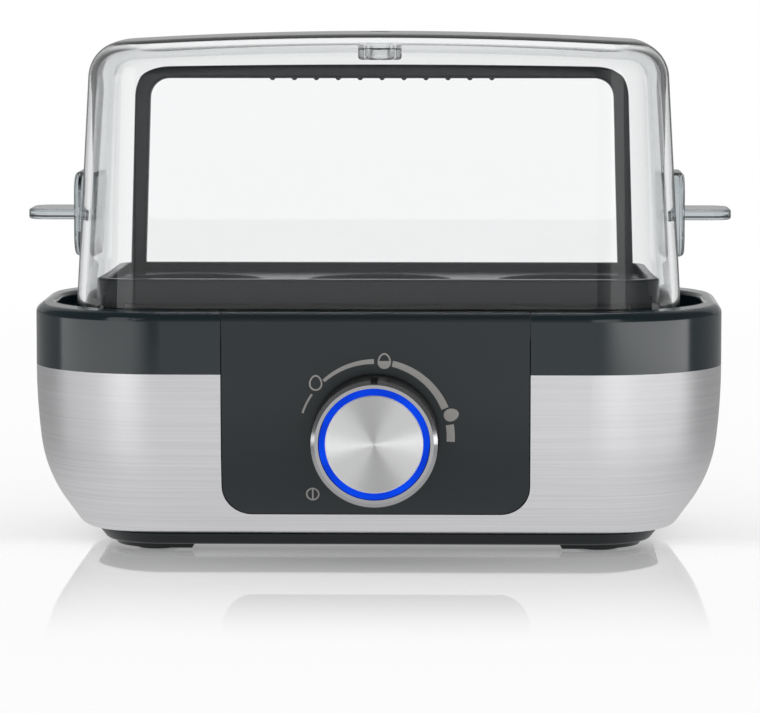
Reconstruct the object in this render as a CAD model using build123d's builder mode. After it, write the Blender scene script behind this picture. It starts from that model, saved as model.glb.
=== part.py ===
import os
from math import radians, tan

from build123d import *

# Electric egg cooker for three eggs. Millimetres, +Z up, the knob faces -Y.
# The origin is on the table, under the middle of the whole appliance's box.

# Housing in plan and in height
half_w = 93.0
half_d = 52.5
corner_r = 36.0
rim_z = 65.4
steel_top_z = 49.0
lip_z = 4.9
pan_z = 1.7

# Steel bowl wall: how far it leans in at two heights, then its heel and lip
steel_wall = 0.9
waist_in, waist_z = 1.2, 29.0
turn_in, turn_z = 8.05, 11.6
heel_r = 4.0
lip_in, lip_r, lip_lap = 28.0, 4.0, 2.0

# Collar with the trough that the lid stands in
collar_wall = 2.2
rim_side, rim_front = 4.7, 8.35
rim_round, rim_inner_round = 2.4, 1.2
trough_r = 36.5
ledge_z = 60.5
ledge_t = 2.0
post_r = 3.6
post_side_in, post_end_in = 24.0, 33.5

# Heating bowl, its seal and what is fixed under it
flange_end, flange_side, bowl_r = 9.1, 10.95, 12.0
bowl_wall, bowl_round = 1.2, 4.0
bowl_floor_z = 51.0
flange_t = 0.8
seal_t = 0.8
flange_gap = 0.8
ledge_gap = 0.8
stud_in, stud_r = 31.0, 2.0
element_r = 3.2
element_in, element_half_w = 26.0, 14.0
element_drop_r, element_hole_gap = 8.0, 1.3
element_end_z = 35.0
shield_z, shield_t = 41.5, 0.8
shield_side = 2.3
shield_end_gap = 1.2
nut_h, nut_r = 3.0, 3.6
thermostat_r, thermostat_h = 8.0, 7.0
fuse_r, fuse_l = 2.0, 12.0

# Front panel
panel_half_w = 40.7
panel_t = 2.5
panel_bottom_z = 11.0
panel_corner_r = 8.0
seam = 0.25
tab_end, tab_half_w, tab_h = 7.7, 4.0, 4.0

# Knob, its light ring and the potentiometer behind it
knob_z = 32.2
pedestal_in = 0.9
knob_gap = 0.4
knob_l = 15.0
knob_r, knob_flare = 16.6, 0.35
bezel_l, bezel_in_r = 2.4, 14.7
bezel_slope, bezel_fall = 1.0, 0.8
ring_r, ring_t = 12.95, 1.5
cap_gap, cap_t = 0.1, 1.6
notch_w, notch_l, notch_depth = 1.8, 12.0, 0.8
shaft_r, bushing_r, bushing_gap = 3.0, 4.4, 0.25
hub_r = 5.4
web_in, web_t = 3.2, 2.0
pot_r, pot_in = 8.5, 5.6
pot_nut_r, pot_nut_h, bushing_end = 6.2, 2.0, 0.5

# Control board behind the panel
board_in, board_t = 13.0, 1.6
board_end, board_low_z, board_high_z = 4.7, 14.0, 45.0
board_screw_in = 5.0
board_screw_low, board_screw_high = 18.0, 41.0
board_boss_t = 2.0
led_count, led_r, led_l = 4, 1.5, 5.0
relay_size = (19.0, 15.0, 15.0)
relay_x, relay_z = -20.0, 31.0
capacitor_r, capacitor_l, capacitor_x, capacitor_z = 5.0, 14.0, 4.0, 22.0
buzzer_r, buzzer_l, buzzer_x, buzzer_z = 6.0, 8.5, 20.0, 36.0

# Base pan, feet and screws
pan_end_in, pan_front_in, pan_side_slope = 16.9, 13.0, 2.6
spigot_h = 2.4
boss_drop, boss_taper, pan_round = 1.3, 30.0, 1.8
boss_shift, boss_half_w, boss_half_d = 1.5, 12.0, 7.5
foot_r, foot_h = 5.4, 1.9
screw_r, head_r, head_h = 1.5, 2.75, 2.0
base_screw_l = 12.0
small_screw_l = 8.0
play, thread_play = 0.2, 0.05

# Mains terminal and the gland where the cord enters
gland_in, gland_z = 21.0, 35.0
gland_bore_r, gland_r, gland_flange_r = 3.5, 6.0, 8.0
gland_flange_t, gland_l = 2.0, 12.0
terminal_size = (18.0, 14.0, 10.0)
lead_r = 1.1
lead_bend = 5.0

# Egg tray with its carrying arch
tray_end_gap, tray_side_gap, tray_r = 4.5, 2.5, 9.0
tray_z, tray_t, tray_skirt = 72.8, 2.0, 6.4
tray_wall, tray_rim, tray_recess = 1.8, 3.0, 2.5
seat_end, seat_bridge, seat_wall, seat_h = 23.3, 10.5, 1.8, 4.0
seat_lead = 1.0
tray_foot = 5.0
arch_in, arch_d = 5.25, 4.0
arch_end, arch_lean, arch_leg = 4.0, 1.7, 4.9
arch_top_gap, arch_bar = 8.8, 4.85
arch_r, arch_round = 10.3, 1.2
nub_count, nub_pitch, nub_r, nub_sink = 11, 6.15, 0.8, 0.25
tenon_w, tenon_d, tenon_h = 3.0, 2.4, 2.0

# Clear lid with its two side handles
lid_gap, lid_r = 6.2, 20.0
lid_draft = 3.2
lid_top_z, lid_round, lid_crown_r = 138.4, 10.0, 1150.0
lid_wall = 2.2
vent_r, vent_boss_r, vent_boss_h = 3.0, 6.0, 4.8
handle_z, handle_half_h, handle_half_d = 88.8, 11.5, 13.5
handle_plate = 2.6
handle_over, handle_tab, handle_tab_in = 3.0, 2.8, 2.0

# Lid in the trough, bowl flange and tray in the lid, arch and seats in the tray
lid_half_w = half_w - rim_side - lid_gap
lid_half_d = half_d - rim_front - lid_gap
flange_in = lid_wall + flange_gap
flange_plan = (lid_half_w - flange_in, lid_half_d - flange_in, lid_r - flange_in)
bowl_half_w = flange_plan[0] - flange_end
bowl_half_d = flange_plan[1] - flange_side
tray_half_w = lid_half_w - lid_wall - tray_end_gap
tray_half_d = lid_half_d - lid_wall - tray_side_gap
egg_pitch = tray_half_w - seat_end
seat_r = (egg_pitch - seat_bridge) / 2 - seat_wall
arch_y = tray_half_d - arch_in
arch_half_foot = tray_half_w - arch_end
arch_half_top = arch_half_foot - arch_lean
arch_top_z = lid_top_z - arch_top_gap
handle_tip_x = half_w + handle_over

# Posts, studs, element, gland and board placed from the walls that carry them
post_x, post_y = half_w - post_end_in, half_d - post_side_in
boss_x = post_x + boss_shift
stud_x = bowl_half_w - stud_in
fuse_x = (thermostat_r + stud_x - stud_r) / 2
element_half_l = bowl_half_w - element_in
shield_half_d = element_half_w + element_r + shield_side
gland_x = half_w - corner_r - gland_in
pedestal_r = knob_r + knob_flare + knob_gap
tab_x = panel_half_w - tab_end
board_half_w = panel_half_w - board_end
board_screw_x = board_half_w - board_screw_in

# Depth of the whole appliance, so that the origin sits under its middle
knob_front_in = pedestal_in - knob_gap - knob_l
mid_y = -(knob_front_in + gland_flange_t) / 2


def level(z):
    return Plane((0, mid_y, z))


def facing(inset, x=0.0, z=knob_z):
    return Plane((x, mid_y - half_d + inset, z), x_dir=(1, 0, 0), z_dir=(0, -1, 0))


def corners(x, y):
    return [(sx * x, sy * y) for sx in (-1, 1) for sy in (-1, 1)]


def ring_slab(plan, z_low, z_high):
    # A plan of half width, half depth and corner radius, raised between two heights.
    with BuildPart() as slab:
        with BuildSketch(level(z_low)):
            RectangleRounded(2 * plan[0], 2 * plan[1], plan[2])
        extrude(amount=z_high - z_low)
    return slab.part


def housing(inset):
    return (half_w - inset, half_d - inset, corner_r - inset)


section = Plane((0, mid_y - half_d, 0), x_dir=(0, 1, 0), z_dir=(1, 0, 0))
slope_angle = 2 * Vector(turn_in - waist_in, waist_z - turn_z).get_angle(Vector(0, 1))
slope_angle -= 2 * Vector(waist_in, steel_top_z - waist_z).get_angle(Vector(0, 1))
heel_in = turn_in + (turn_z - lip_z) * tan(radians(slope_angle))


def wall_line(top_z):
    # The housing's outer line in section, from the given height down to the heel.
    if top_z > steel_top_z:
        Line((0, top_z), (0, steel_top_z))
    upper = TangentArc((0, steel_top_z), (waist_in, waist_z), tangent=(0, -1))
    lower = TangentArc(upper @ 1, (turn_in, turn_z), tangent=upper % 1)
    return Line(lower @ 1, (heel_in, lip_z))


def panel_window(gap):
    # The panel's outline from the front, open at the top, widened by a gap.
    with BuildPart() as window:
        with BuildSketch(facing(-half_d, z=0)) as outline:
            low = panel_bottom_z - gap
            with Locations((0, (low + 2 * rim_z) / 2)):
                Rectangle(2 * (panel_half_w + gap), 2 * rim_z - low)
            fillet(outline.vertices().group_by(Axis.Y)[0], panel_corner_r)
        extrude(amount=-half_d - half_d)
    return window.part


# Steel bowl: a drawn wall that leans in to a heel and a flat lip
with BuildSketch(level(steel_top_z)) as steel_plan:
    RectangleRounded(2 * half_w, 2 * half_d, corner_r)
steel_path = steel_plan.sketch.face().outer_wire()

with BuildPart() as steel_shell:
    with BuildSketch(section) as steel_section:
        with BuildLine():
            slope = wall_line(steel_top_z)
            Line(slope @ 1, (heel_in + heel_r + lip_lap, lip_z))
            offset(amount=steel_wall, side=Side.LEFT)
        make_face()
        fillet(steel_section.vertices().sort_by_distance((heel_in, lip_z))[0], heel_r)
    sweep(path=steel_path)
    add(ring_slab(housing(heel_in + heel_r), lip_z, lip_z + steel_wall))
    add(ring_slab((half_w - lip_in, half_d - lip_in, lip_r), lip_z, lip_z + steel_wall), mode=Mode.SUBTRACT)
    add(panel_window(seam), mode=Mode.SUBTRACT)
    with BuildSketch(facing(half_d, gland_x, gland_z)):
        Circle(gland_r + play)
    extrude(amount=-half_d, mode=Mode.SUBTRACT)
    with BuildSketch(level(lip_z)):
        with Locations(*corners(post_x, post_y)):
            Circle(screw_r + play)
    extrude(amount=steel_wall, mode=Mode.SUBTRACT)

# Collar: band, rim, the ledge for lid and bowl, and the four screw posts
trough = (half_w - rim_side, half_d - rim_front, trough_r)
ledge_hole = (bowl_half_w + ledge_gap, bowl_half_d + ledge_gap, bowl_r + ledge_gap)
ledge_low_z = ledge_z - ledge_t
post_low_z = lip_z + steel_wall
tab_in = (panel_t + play + rim_front) / 2
tab_screws_at = [(sx * tab_x, tab_in - half_d) for sx in (-1, 1)]

with BuildPart() as collar:
    add(ring_slab(housing(0), steel_top_z, rim_z))
    fillet(collar.edges().group_by(Axis.Z)[-1], rim_round)
    add(ring_slab(housing(collar_wall), steel_top_z, ledge_low_z), mode=Mode.SUBTRACT)
    add(ring_slab(trough, ledge_z, rim_z), mode=Mode.SUBTRACT)
    fillet(collar.faces().filter_by(Axis.Z).group_by(Axis.Z)[-1].faces()[0].inner_wires()[0].edges(),
           rim_inner_round)
    add(ring_slab(ledge_hole, ledge_low_z, ledge_z), mode=Mode.SUBTRACT)
    with BuildSketch(level(post_low_z)):
        with Locations(*corners(post_x, post_y)):
            Circle(post_r)
    extrude(amount=ledge_low_z - post_low_z)
    with BuildSketch(level(post_low_z)):
        with Locations(*corners(post_x, post_y)):
            Circle(screw_r + thread_play)
    extrude(amount=base_screw_l, mode=Mode.SUBTRACT)
    with BuildSketch(facing(panel_t + play, z=(rim_z + steel_top_z) / 2)):
        Rectangle(2 * (panel_half_w + seam), rim_z - steel_top_z)
    extrude(amount=half_d, mode=Mode.SUBTRACT)
    with BuildSketch(level(ledge_low_z)):
        with Locations(*tab_screws_at):
            Circle(screw_r + thread_play)
    extrude(amount=small_screw_l - tab_h, mode=Mode.SUBTRACT)

# Front panel: the same section, closed over the opening in band and steel
board_screws_at = [(sx * board_screw_x, z) for sx in (-1, 1) for z in (board_screw_low, board_screw_high)]

with BuildPart() as panel_hollow:
    with BuildSketch(section):
        with BuildLine():
            with BuildLine(mode=Mode.PRIVATE) as panel_skin:
                slope = wall_line(rim_z)
            inner = offset(panel_skin.line, amount=panel_t, side=Side.LEFT, closed=False, mode=Mode.PRIVATE)
            add(inner)
            Polyline(inner @ 1, (board_in, (inner @ 1).Y), (board_in, (inner @ 0).Y), inner @ 0)
        make_face()
    extrude(amount=half_w, both=True)
    with BuildSketch(facing(board_in, z=0)):
        with Locations(*board_screws_at):
            Circle(screw_r + board_boss_t)
    extrude(amount=half_d, mode=Mode.SUBTRACT)
    with BuildSketch(facing(pot_in)):
        Circle(pot_r)
    extrude(amount=half_d, mode=Mode.SUBTRACT)
    with BuildSketch(level(ledge_low_z)):
        with Locations(*[(sx * tab_x, (board_in + panel_t) / 2 - half_d) for sx in (-1, 1)]):
            Rectangle(2 * tab_half_w, board_in - panel_t)
    extrude(amount=-tab_h, mode=Mode.SUBTRACT)

with BuildPart() as front_panel:
    with BuildSketch(section):
        with BuildLine():
            slope = wall_line(rim_z)
            Polyline(slope @ 1, (board_in, lip_z), (board_in, rim_z), (0, rim_z))
        make_face()
    extrude(amount=panel_half_w, both=True)
    fillet(front_panel.edges().filter_by(Axis.X).group_by(Axis.Z)[-1].sort_by(Axis.Y)[0], rim_round)
    with BuildSketch(facing(board_in)):
        Circle(pedestal_r)
    extrude(amount=board_in - pedestal_in)
    with BuildSketch(facing(pedestal_in)):
        Circle(pedestal_r)
    extrude(amount=half_d, mode=Mode.SUBTRACT)
    add(panel_hollow.part, mode=Mode.SUBTRACT)
    add(panel_window(0), mode=Mode.INTERSECT)

    with BuildSketch(facing(board_in, z=0)):
        with Locations(*board_screws_at):
            Circle(screw_r + thread_play)
    extrude(amount=small_screw_l - board_t, mode=Mode.SUBTRACT)
    with BuildSketch(level(ledge_low_z)):
        with Locations(*tab_screws_at):
            Circle(screw_r + play)
    extrude(amount=-tab_h, mode=Mode.SUBTRACT)
    with BuildSketch(facing(board_in)):
        Circle(bushing_r + play)
        with PolarLocations(ring_r + ring_t / 2, led_count, start_angle=45):
            Circle(led_r + play)
    extrude(amount=board_in, mode=Mode.SUBTRACT)

# Heating bowl with its flange and two studs
flange_z = ledge_z + seal_t
flange_top_z = flange_z + flange_t
stud_end_z = shield_z - nut_h - stud_r

with BuildPart() as bowl_hollow:
    add(ring_slab((bowl_half_w - bowl_wall, bowl_half_d - bowl_wall, bowl_r - bowl_wall),
                  bowl_floor_z + bowl_wall, flange_top_z))
    fillet(bowl_hollow.edges().group_by(Axis.Z)[0], bowl_round)

with BuildPart() as heating_bowl:
    add(ring_slab((bowl_half_w, bowl_half_d, bowl_r), bowl_floor_z, flange_top_z))
    fillet(heating_bowl.edges().group_by(Axis.Z)[0], bowl_round + bowl_wall)
    add(ring_slab(flange_plan, flange_z, flange_top_z))
    add(bowl_hollow.part, mode=Mode.SUBTRACT)
    with BuildSketch(level(stud_end_z)):
        with Locations((-stud_x, 0), (stud_x, 0)):
            Circle(stud_r)
    extrude(amount=bowl_floor_z - stud_end_z)

# Soft ring between the bowl's flange and the ledge
with BuildPart() as bowl_seal:
    add(ring_slab(flange_plan, ledge_z, flange_z))
    add(ring_slab(ledge_hole, ledge_z, flange_z), mode=Mode.SUBTRACT)

# Sheathed heating element: a hairpin under the bowl with both ends turned down
element_z = bowl_floor_z - element_r - play
element_turn_r = element_half_w - element_r / 2
with BuildPart() as heating_element:
    with BuildLine() as hairpin:
        FilletPolyline(
            *[(x, mid_y + y, z) for x, y, z in (
                (element_half_l, -element_half_w, element_end_z),
                (element_half_l, -element_half_w, element_z),
                (-element_half_l - element_half_w, -element_half_w, element_z),
                (-element_half_l - element_half_w, element_half_w, element_z),
                (element_half_l, element_half_w, element_z),
                (element_half_l, element_half_w, element_end_z))],
            radius=[element_drop_r, element_turn_r, element_turn_r, element_drop_r])
    with BuildSketch(Plane(hairpin.line @ 0, z_dir=hairpin.line % 0)):
        Circle(element_r)
    sweep()

# Pressed shield under the element: its turned-up ends bear on the ledge
shield_in_half = ledge_hole[0] + shield_end_gap
shield_half_w = shield_in_half + shield_t
with BuildPart() as heat_shield:
    with BuildSketch(level(shield_z)):
        Rectangle(2 * shield_half_w, 2 * shield_half_d)
    extrude(amount=ledge_low_z - shield_z)
    with BuildSketch(level(shield_z + shield_t)):
        Rectangle(2 * shield_in_half, 2 * shield_half_d)
    extrude(amount=ledge_low_z - shield_z, mode=Mode.SUBTRACT)
    with BuildSketch(level(shield_z)):
        with Locations((-stud_x, 0), (stud_x, 0)):
            Circle(stud_r + play)
        with Locations(*corners(post_x, post_y)):
            Circle(post_r + play)
        with Locations((element_half_l, -element_half_w), (element_half_l, element_half_w)):
            Circle(element_r + element_hole_gap)
    extrude(amount=shield_t, mode=Mode.SUBTRACT)

with BuildPart() as shield_nuts:
    with BuildSketch(level(shield_z)):
        with Locations((-stud_x, 0), (stud_x, 0)):
            RegularPolygon(nut_r, 6)
            Circle(stud_r + thread_play, mode=Mode.SUBTRACT)
    extrude(amount=-nut_h)

# Thermostat and thermal fuse against the underside of the bowl
with BuildPart() as thermostat:
    with BuildSketch(level(bowl_floor_z)):
        Circle(thermostat_r)
    extrude(amount=-thermostat_h / 2)
    with BuildSketch(level(bowl_floor_z)):
        Circle(thermostat_r - thermostat_h / 4)
    extrude(amount=-thermostat_h)

with BuildPart() as thermal_fuse:
    fuse_z = bowl_floor_z - fuse_r - thread_play
    with BuildSketch(Plane((fuse_x - fuse_l / 2, mid_y, fuse_z), z_dir=(1, 0, 0))):
        Circle(fuse_r)
    extrude(amount=fuse_l)
    chamfer(thermal_fuse.edges(), fuse_r / 4)

# Control board with its components on the rear face
board_mid_z = (board_low_z + board_high_z) / 2
board_back_in = board_in + board_t

with BuildPart() as control_board:
    with BuildSketch(facing(board_in, z=0)):
        with Locations((0, board_mid_z)):
            Rectangle(2 * board_half_w, board_high_z - board_low_z)
        with Locations(*board_screws_at):
            Circle(screw_r + play, mode=Mode.SUBTRACT)
    extrude(amount=-board_t)

with BuildPart() as led_lights:
    with BuildSketch(facing(board_in)):
        with PolarLocations(ring_r + ring_t / 2, led_count, start_angle=45):
            Circle(led_r)
    extrude(amount=led_l)
    fillet(led_lights.edges().group_by(Axis.Y)[0], led_r * 0.8)

with BuildPart() as power_relay:
    with BuildSketch(facing(board_back_in, relay_x, relay_z)):
        RectangleRounded(relay_size[0], relay_size[2], 1)
    extrude(amount=-relay_size[1])

with BuildPart() as capacitor:
    with BuildSketch(facing(board_back_in, capacitor_x, capacitor_z)):
        Circle(capacitor_r)
    extrude(amount=-capacitor_l)
    fillet(capacitor.edges().group_by(Axis.Y)[-1], capacitor_r / 6)

with BuildPart() as buzzer:
    with BuildSketch(facing(board_back_in, buzzer_x, buzzer_z)):
        Circle(buzzer_r)
    extrude(amount=-buzzer_l)
    with BuildSketch(facing(board_back_in + buzzer_l, buzzer_x, buzzer_z)):
        Circle(buzzer_r / 5)
    extrude(amount=buzzer_l / 2, mode=Mode.SUBTRACT)

with BuildPart() as board_screws:
    with BuildSketch(facing(board_back_in, z=0)):
        with Locations(*board_screws_at):
            Circle(head_r)
    extrude(amount=-head_h)
    with BuildSketch(facing(board_back_in, z=0)):
        with Locations(*board_screws_at):
            Circle(screw_r)
    extrude(amount=small_screw_l - play)

with BuildPart() as panel_screws:
    with BuildSketch(level(ledge_low_z - tab_h)):
        with Locations(*tab_screws_at):
            Circle(head_r)
    extrude(amount=-head_h)
    with BuildSketch(level(ledge_low_z - tab_h)):
        with Locations(*tab_screws_at):
            Circle(screw_r)
    extrude(amount=small_screw_l - play)

# Potentiometer: body on the board, bushing through the panel, nut on its front
bushing_front_in = pedestal_in - pot_nut_h - bushing_end
shaft_back_in = board_in - board_t

with BuildPart() as potentiometer:
    with BuildSketch(facing(board_in)):
        Circle(pot_r)
    extrude(amount=board_in - pot_in)
    with BuildSketch(facing(board_in)):
        Circle(bushing_r)
    extrude(amount=board_in - bushing_front_in)
    with BuildSketch(facing(shaft_back_in)):
        Circle(shaft_r + bushing_gap)
    extrude(amount=half_d, mode=Mode.SUBTRACT)

with BuildPart() as potentiometer_nut:
    with BuildSketch(facing(pedestal_in)):
        RegularPolygon(pot_nut_r, 6)
        Circle(bushing_r + thread_play, mode=Mode.SUBTRACT)
    extrude(amount=pot_nut_h)

# Knob: skirt with hub and web, bezel, light ring, spun cap and the shaft
knob_back_in = pedestal_in - knob_gap
skirt_l = knob_l - bezel_l
hub_l = knob_l - cap_t
ring_out_r = ring_r + ring_t
web_front_in = knob_back_in - web_in - web_t
shaft_front_in = knob_back_in - hub_l + web_t
notch_at = facing(knob_front_in, z=knob_z + knob_r)

with BuildPart() as knob_skirt:
    with BuildSketch(facing(knob_back_in)):
        Circle(knob_r + knob_flare)
    with BuildSketch(facing(knob_back_in - skirt_l)):
        Circle(knob_r)
    loft()
    with BuildSketch(facing(knob_back_in)):
        Circle(ring_out_r + play / 2)
    extrude(amount=knob_l, mode=Mode.SUBTRACT)
    with BuildSketch(facing(knob_back_in - web_in)):
        Circle(ring_out_r + play)
        with PolarLocations(ring_r + ring_t / 2, 3 * led_count):
            Circle(ring_t / 2, mode=Mode.SUBTRACT)
    extrude(amount=web_t)
    with BuildSketch(facing(web_front_in)):
        Circle(hub_r)
    extrude(amount=hub_l - web_in - web_t)
    with BuildSketch(facing(knob_back_in)):
        Circle(shaft_r + thread_play)
    extrude(amount=knob_back_in - shaft_front_in, mode=Mode.SUBTRACT)
    with BuildSketch(notch_at):
        Rectangle(notch_w, 2 * notch_depth)
    extrude(amount=-notch_l, mode=Mode.SUBTRACT)

with BuildPart() as knob_bezel:
    with BuildSketch(facing(knob_back_in - skirt_l)):
        Circle(knob_r)
        Circle(bezel_in_r, mode=Mode.SUBTRACT)
    extrude(amount=bezel_l)
    bezel_rim = knob_bezel.edges().group_by(Axis.Y)[0].sort_by(SortBy.RADIUS)[-1]
    chamfer(bezel_rim, bezel_slope, bezel_fall, reference=knob_bezel.faces().sort_by(Axis.Y)[0])
    with BuildSketch(notch_at):
        Rectangle(notch_w, 2 * notch_depth)
    extrude(amount=-notch_l, mode=Mode.SUBTRACT)

with BuildPart() as knob_light_ring:
    with BuildSketch(facing(web_front_in)):
        Circle(ring_out_r)
        Circle(ring_r, mode=Mode.SUBTRACT)
    extrude(amount=web_front_in - knob_front_in - play)

with BuildPart() as knob_cap:
    with BuildSketch(facing(knob_back_in - hub_l)):
        Circle(ring_r - cap_gap)
    extrude(amount=cap_t)
    fillet(knob_cap.edges().group_by(Axis.Y)[0], cap_t / 4)

with BuildPart() as potentiometer_shaft:
    with BuildSketch(facing(shaft_back_in - play)):
        Circle(shaft_r)
    extrude(amount=shaft_back_in - play - shaft_front_in)

# Base pan with foot bosses, rubber feet and the screws hidden above them
pan_top = (half_w - pan_end_in, half_d - pan_front_in, corner_r - pan_end_in)
pan_low = tuple(size - pan_side_slope for size in pan_top)
pan_foot = tuple(size - pan_round for size in pan_low)
boss_z = pan_z - boss_drop
head_top_z = foot_h + head_h
spigot_z = lip_z + spigot_h

with BuildPart() as base_pan:
    with BuildSketch(level(pan_z)):
        RectangleRounded(2 * pan_low[0], 2 * pan_low[1], pan_low[2])
    with BuildSketch(level(lip_z)):
        RectangleRounded(2 * pan_top[0], 2 * pan_top[1], pan_top[2])
    loft()
    fillet(base_pan.edges().group_by(Axis.Z)[0], pan_round)
    add(ring_slab((half_w - lip_in - play, half_d - lip_in - play, lip_r - play), lip_z, spigot_z))
    with BuildSketch(level(pan_z)):
        RectangleRounded(2 * pan_foot[0], 2 * pan_foot[1], pan_foot[2])
        with Locations(*corners(boss_x, post_y)):
            Rectangle(2 * boss_half_w, 2 * boss_half_d, mode=Mode.INTERSECT)
    extrude(amount=-boss_drop, taper=boss_taper)
    with BuildSketch(level(boss_z)):
        with Locations(*corners(post_x, post_y)):
            Circle(foot_r + play)
    extrude(amount=foot_h - boss_z, mode=Mode.SUBTRACT)
    with BuildSketch(level(foot_h)):
        with Locations(*corners(post_x, post_y)):
            Circle(head_r + play)
    extrude(amount=head_h, mode=Mode.SUBTRACT)
    with BuildSketch(level(head_top_z)):
        with Locations(*corners(post_x, post_y)):
            Circle(screw_r + play)
    extrude(amount=lip_z - head_top_z, mode=Mode.SUBTRACT)

with BuildPart() as rubber_feet:
    with BuildSketch(Plane((0, mid_y, 0))):
        with Locations(*corners(post_x, post_y)):
            Circle(foot_r)
    extrude(amount=foot_h)
    fillet(rubber_feet.edges().group_by(Axis.Z)[0], foot_h / 4)

with BuildPart() as base_screws:
    with BuildSketch(level(foot_h)):
        with Locations(*corners(post_x, post_y)):
            Circle(head_r)
    extrude(amount=head_h)
    with BuildSketch(level(head_top_z)):
        with Locations(*corners(post_x, post_y)):
            Circle(screw_r)
    extrude(amount=post_low_z + base_screw_l - play - head_top_z)

# Cord gland in the rear wall, mains terminal and the two element leads
with BuildPart() as cord_gland:
    with BuildSketch(facing(2 * half_d, gland_x, gland_z)):
        Circle(gland_flange_r)
    extrude(amount=-gland_flange_t)
    fillet(cord_gland.edges().group_by(Axis.Y)[-1], gland_flange_t / 3)
    with BuildSketch(facing(2 * half_d, gland_x, gland_z)):
        Circle(gland_r)
    extrude(amount=gland_l - gland_flange_t)
    with BuildSketch(facing(2 * half_d + gland_flange_t, gland_x, gland_z)):
        Circle(gland_bore_r)
    extrude(amount=gland_l, mode=Mode.SUBTRACT)

terminal_top_z = spigot_z + terminal_size[2]
with BuildPart() as terminal_block:
    with BuildSketch(level(spigot_z)):
        with Locations((element_half_l, element_half_w)):
            RectangleRounded(terminal_size[0], terminal_size[1], 1)
    extrude(amount=terminal_size[2])
    with BuildSketch(level(terminal_top_z)):
        with Locations((element_half_l, element_half_w)):
            with GridLocations(terminal_size[0] / 2, terminal_size[1] / 2, 2, 2):
                Circle(screw_r)
    extrude(amount=-terminal_size[2] / 4, mode=Mode.SUBTRACT)

lead_low_z = (element_end_z + terminal_top_z) / 2
board_back_y = mid_y - half_d + board_back_in
routes = {
    "mains": [(element_half_l, mid_y + element_half_w, element_end_z),
              (element_half_l, mid_y + element_half_w, lead_low_z + lead_bend),
              (element_half_l - lead_bend, mid_y + element_half_w, lead_low_z - lead_bend),
              (element_half_l - lead_bend, mid_y + element_half_w, terminal_top_z)],
    "board": [(element_half_l, mid_y - element_half_w, element_end_z),
              (element_half_l, mid_y - element_half_w, lead_low_z),
              (board_screw_x - 2 * lead_bend, board_back_y + 2 * lead_bend, lead_low_z),
              (board_screw_x - 2 * lead_bend, board_back_y, lead_low_z)],
}
with BuildPart() as heater_leads:
    for points in routes.values():
        with BuildLine() as route:
            FilletPolyline(*points, radius=lead_bend / 2)
        with BuildSketch(Plane(route.line @ 0, z_dir=route.line % 0)):
            Circle(lead_r)
        sweep(path=route.line)

# Egg tray: rim, sunk plate, skirt, three seats, and feet that stand on the bowl's flange
plate_z = tray_z - tray_recess
tray_low_z = plate_z - tray_t
foot_at = corners(tray_half_w - tray_foot + play, tray_half_d - tray_foot + play)
tenon_x = arch_half_foot - arch_leg / 2

with BuildPart() as egg_tray:
    add(ring_slab((tray_half_w, tray_half_d, tray_r), tray_z - tray_skirt, tray_z))
    add(ring_slab((tray_half_w - tray_rim, tray_half_d - tray_rim, tray_r - tray_rim), plate_z, tray_z),
        mode=Mode.SUBTRACT)
    fillet(egg_tray.edges().group_by(Axis.Z)[-1], tray_rim / 4)
    add(ring_slab((tray_half_w - tray_wall, tray_half_d - tray_wall, tray_r - tray_wall),
                  tray_z - tray_skirt, tray_low_z), mode=Mode.SUBTRACT)
    with BuildSketch(level(tray_low_z - seat_h)):
        with GridLocations(egg_pitch, 0, 3, 1):
            Circle(seat_r + seat_wall)
    extrude(amount=seat_h)
    with BuildSketch(level(flange_top_z)):
        with Locations(*foot_at):
            Rectangle(tray_foot, tray_foot)
    extrude(amount=tray_low_z - flange_top_z)
    with BuildSketch(level(tray_low_z - seat_h)):
        with GridLocations(egg_pitch, 0, 3, 1):
            Circle(seat_r)
    extrude(amount=seat_h + tray_t, mode=Mode.SUBTRACT)
    seat_edges = egg_tray.edges().filter_by(GeomType.CIRCLE).filter_by_position(Axis.Z, plate_z, plate_z)
    chamfer(seat_edges.filter_by(lambda edge: edge.radius > tray_r), seat_lead)
    with BuildSketch(level(tray_low_z)):
        with Locations((-tenon_x, arch_y), (tenon_x, arch_y)):
            Rectangle(tenon_w + play, tenon_d + play)
    extrude(amount=tray_t, mode=Mode.SUBTRACT)
    with BuildSketch(level(plate_z)):
        with Locations((-tenon_x, arch_y), (tenon_x, arch_y)):
            Rectangle(arch_leg + play, arch_d + play)
    extrude(amount=tray_recess, mode=Mode.SUBTRACT)

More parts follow.
